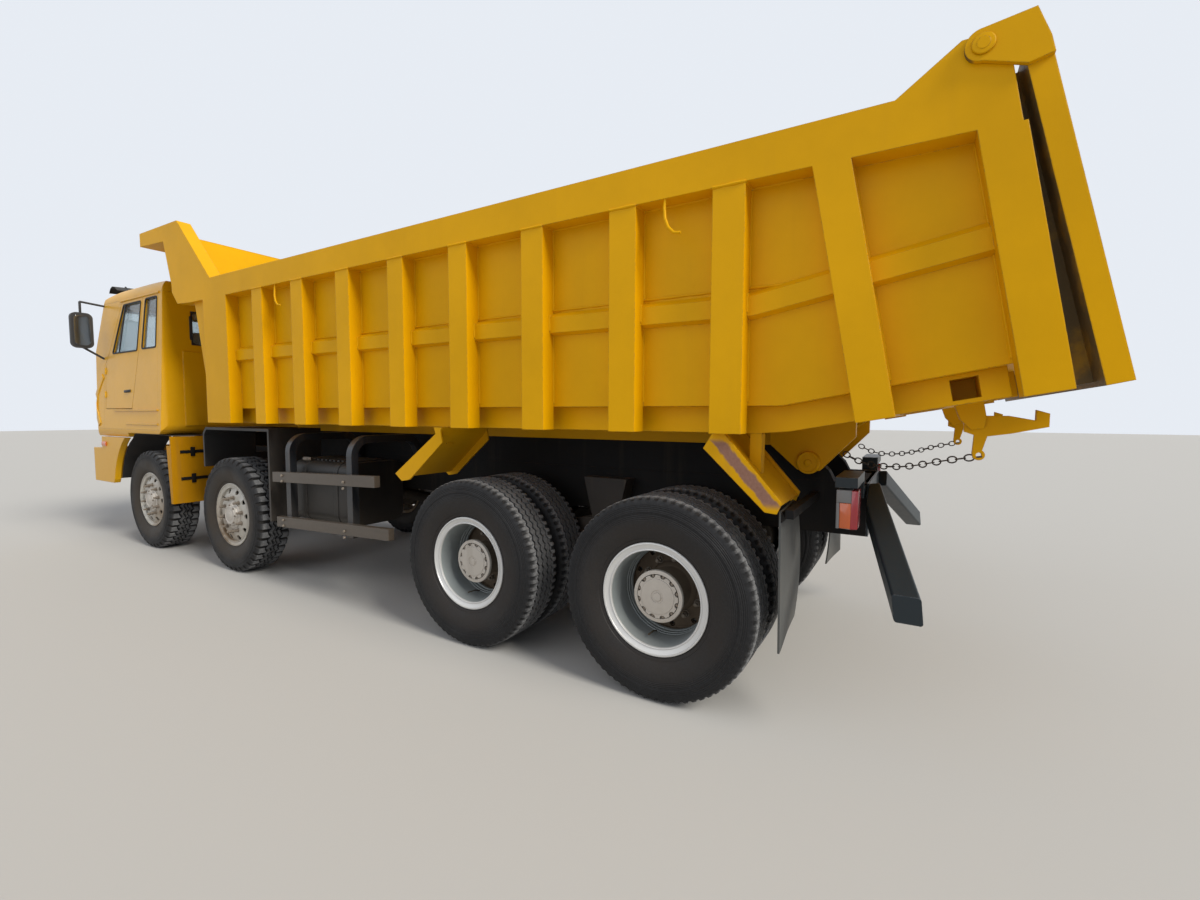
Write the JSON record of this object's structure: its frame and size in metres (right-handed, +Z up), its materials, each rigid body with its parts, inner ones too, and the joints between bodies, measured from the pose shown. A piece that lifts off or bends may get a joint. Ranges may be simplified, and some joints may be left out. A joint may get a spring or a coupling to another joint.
{
  "type": "dump truck",
  "caption": "Heavy rear-tipping dump truck with a flat-fronted tilting cab, two steered front axles, a twin-wheel rear bogie, a post-sided open bed with cab canopy and a top-hung tailgate.",
  "frame": {"origin": "centre of the plan outline, on the ground", "axes": "+X towards the front of the truck, +Y to its left, +Z up"},
  "size_m": [9.599, 2.94, 3.421],
  "materials": {
    "body_yellow": "satin, worn",
    "frame_black": "satin, dusty",
    "guard_brown": "satin, dusty",
    "hoop_blue": "satin, dusty",
    "rim_grey": "satin, dirty",
    "rim_beige": "satin, dusty",
    "axle_iron": "matt, dirty",
    "spring_steel": "matt, rusty",
    "hoist_steel": "satin",
    "rod_chrome": "polished",
    "tank_metal": "brushed, dusty",
    "box_black": "matt",
    "trim_black": "matt",
    "seat_cloth": "woven",
    "tyre": "matt, dusty",
    "flap_rubber": "matt, dusty",
    "cab_glass": "clear, tinted",
    "lamp_glass": "ribbed"
  },
  "bodies": {
    "chassis": {"frame_rails": "frame_black", "frame_crossmembers": "frame_black", "subframe": "frame_black", "powertrain": "axle_iron", "axles": "axle_iron", "leaf_springs": "spring_steel", "front_bumper": "body_yellow", "lamps": "lamp_glass", "rear_guard": "guard_brown", "mudguards_front": "body_yellow", "mudguards_second": "trim_black", "fuel_tank": "tank_metal", "battery_and_air": "box_black", "side_guards": "hoop_blue", "mud_flaps": "flap_rubber", "cab_mounts": "frame_black"},
    "cab": {"cab_roof": "body_yellow", "cab_floor": "body_yellow", "cab_rear_wall": "body_yellow", "cab_front": "body_yellow", "cab_sides": "body_yellow", "cab_glass": "cab_glass", "seats": "seat_cloth", "dashboard": "trim_black", "mirrors": "trim_black"},
    "left_door": {"door_left": "body_yellow", "door_glass_left": "cab_glass"},
    "right_door": {"door_right": "body_yellow", "door_glass_right": "cab_glass"},
    "bed": {"bed_sides": "body_yellow", "bed_floor": "body_yellow", "bed_front_wall": "body_yellow", "bed_underframe": "body_yellow", "bed_wings": "body_yellow"},
    "gate": {"tailgate": "body_yellow"},
    "hooks": {"gate_hooks": "body_yellow"},
    "barrel": {"hoist_barrel": "hoist_steel"},
    "rod": {"hoist_rod": "rod_chrome"},
    "steer_1l": {"knuckle_1l": "axle_iron"},
    "steer_1r": {"knuckle_1r": "axle_iron"},
    "steer_2l": {"knuckle_2l": "axle_iron"},
    "steer_2r": {"knuckle_2r": "axle_iron"},
    "wheel_1l": {"rim_1l": "rim_beige", "tyre_1l": "tyre"},
    "wheel_1r": {"rim_1r": "rim_beige", "tyre_1r": "tyre"},
    "wheel_2l": {"rim_2l": "rim_beige", "tyre_2l": "tyre"},
    "wheel_2r": {"rim_2r": "rim_beige", "tyre_2r": "tyre"},
    "wheel_3l": {"rim_3l": "rim_grey", "tyre_3l": "tyre"},
    "wheel_3r": {"rim_3r": "rim_grey", "tyre_3r": "tyre"},
    "wheel_4l": {"rim_4l": "rim_grey", "tyre_4l": "tyre"},
    "wheel_4r": {"rim_4r": "rim_grey", "tyre_4r": "tyre"}
  },
  "joints": [
    {"name": "cab_tilt", "type": "hinge", "parent": "chassis", "child": "cab", "pos_m": [4.59, 0, 1.215], "axis": [0, 1, 0], "range_deg": [0, 50]},
    {"name": "left_door", "type": "hinge", "parent": "cab", "child": "left_door", "pos_m": [4.293, 1.1873, 1.9], "axis": [0, 0.0419, -0.9991], "range_deg": [0, 65]},
    {"name": "right_door", "type": "hinge", "parent": "cab", "child": "right_door", "pos_m": [4.293, -1.1873, 1.9], "axis": [0, 0.0419, 0.9991], "range_deg": [0, 65]},
    {"name": "steer_1l", "type": "hinge", "parent": "chassis", "child": "steer_1l", "pos_m": [3.34, 0.85, 0.555], "axis": [0, 0, 1], "range_deg": [-35, 35]},
    {"name": "steer_1r", "type": "hinge", "parent": "chassis", "child": "steer_1r", "pos_m": [3.34, -0.85, 0.555], "axis": [0, 0, 1], "range_deg": [-35, 35]},
    {"name": "steer_2l", "type": "hinge", "parent": "chassis", "child": "steer_2l", "pos_m": [1.54, 0.85, 0.555], "axis": [0, 0, 1], "range_deg": [-25, 25]},
    {"name": "steer_2r", "type": "hinge", "parent": "chassis", "child": "steer_2r", "pos_m": [1.54, -0.85, 0.555], "axis": [0, 0, 1], "range_deg": [-25, 25]},
    {"name": "spin_1l", "type": "hinge", "parent": "steer_1l", "child": "wheel_1l", "pos_m": [3.34, 0, 0.555], "axis": [0, 1, 0], "continuous": true},
    {"name": "spin_1r", "type": "hinge", "parent": "steer_1r", "child": "wheel_1r", "pos_m": [3.34, 0, 0.555], "axis": [0, 1, 0], "continuous": true},
    {"name": "spin_2l", "type": "hinge", "parent": "steer_2l", "child": "wheel_2l", "pos_m": [1.54, 0, 0.555], "axis": [0, 1, 0], "continuous": true},
    {"name": "spin_2r", "type": "hinge", "parent": "steer_2r", "child": "wheel_2r", "pos_m": [1.54, 0, 0.555], "axis": [0, 1, 0], "continuous": true},
    {"name": "spin_3l", "type": "hinge", "parent": "chassis", "child": "wheel_3l", "pos_m": [-1.635, 0, 0.555], "axis": [0, 1, 0], "continuous": true},
    {"name": "spin_3r", "type": "hinge", "parent": "chassis", "child": "wheel_3r", "pos_m": [-1.635, 0, 0.555], "axis": [0, 1, 0], "continuous": true},
    {"name": "spin_4l", "type": "hinge", "parent": "chassis", "child": "wheel_4l", "pos_m": [-2.985, 0, 0.555], "axis": [0, 1, 0], "continuous": true},
    {"name": "spin_4r", "type": "hinge", "parent": "chassis", "child": "wheel_4r", "pos_m": [-2.985, 0, 0.555], "axis": [0, 1, 0], "continuous": true},
    {"name": "bed_tip", "type": "hinge", "parent": "chassis", "child": "bed", "pos_m": [-3.635, 0, 1.27], "axis": [0, -1, 0], "range_deg": [0, 50]},
    {"name": "gate_swing", "type": "hinge", "parent": "bed", "child": "gate", "pos_m": [-4.322, 0, 2.9], "axis": [0, 1, 0], "range_deg": [0, 75]},
    {"name": "hook_release", "type": "hinge", "parent": "bed", "child": "hooks", "pos_m": [-4.3949, 0, 1.5076], "axis": [0, 1, 0], "range_deg": [0, 8]},
    {"name": "barrel_swing", "type": "hinge", "parent": "chassis", "child": "barrel", "pos_m": [-1.985, 0, 0.95], "axis": [0, -1, 0], "range_deg": [0, 67]},
    {"name": "rod_stroke", "type": "slide", "parent": "barrel", "child": "rod", "axis": [0.9818, 0, 0.1897], "range_m": [0, 1.19]}
  ],
  "couplings": [
    {"joint": "steer_1r", "follows": "steer_1l", "ratio": 1},
    {"joint": "steer_2l", "follows": "steer_1l", "ratio": 0.7},
    {"joint": "steer_2r", "follows": "steer_1l", "ratio": 0.7},
    {"joint": "barrel_swing", "follows": "bed_tip", "ratio": 1.33},
    {"joint": "rod_stroke", "follows": "bed_tip", "m_per_rad": 1.35}
  ]
}
